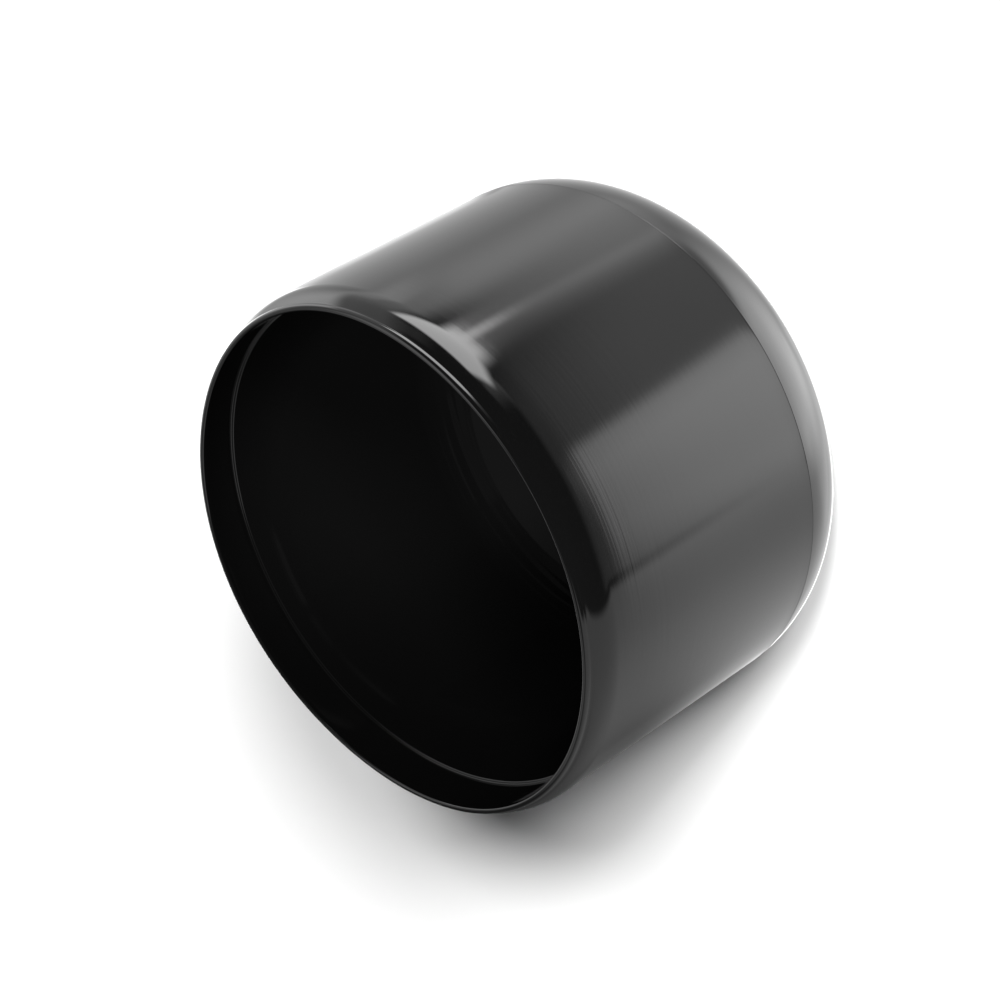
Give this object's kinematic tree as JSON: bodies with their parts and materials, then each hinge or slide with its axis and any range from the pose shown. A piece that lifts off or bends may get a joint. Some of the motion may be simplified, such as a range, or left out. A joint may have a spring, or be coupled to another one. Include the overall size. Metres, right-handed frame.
{
  "type": "round end cap",
  "caption": "Thin-walled round end cap for a tube: a moulded black plastic cup with a rounded closed end, and a shoulder that curves in to a thin edge at the mouth.",
  "frame": {"origin": "middle of the closed end's flat outer face, on which the cap stands", "axes": "+Z along the cap's axis, from the closed end to the mouth; X and Y are alike, because the cap is round"},
  "size_m": [0.0538, 0.0538, 0.0409],
  "materials": {
    "black_plastic": "moulded, semi-gloss, with fine turning marks left by the mould"
  },
  "bodies": {
    "root": {"end_cap": "black_plastic"}
  },
  "joints": []
}
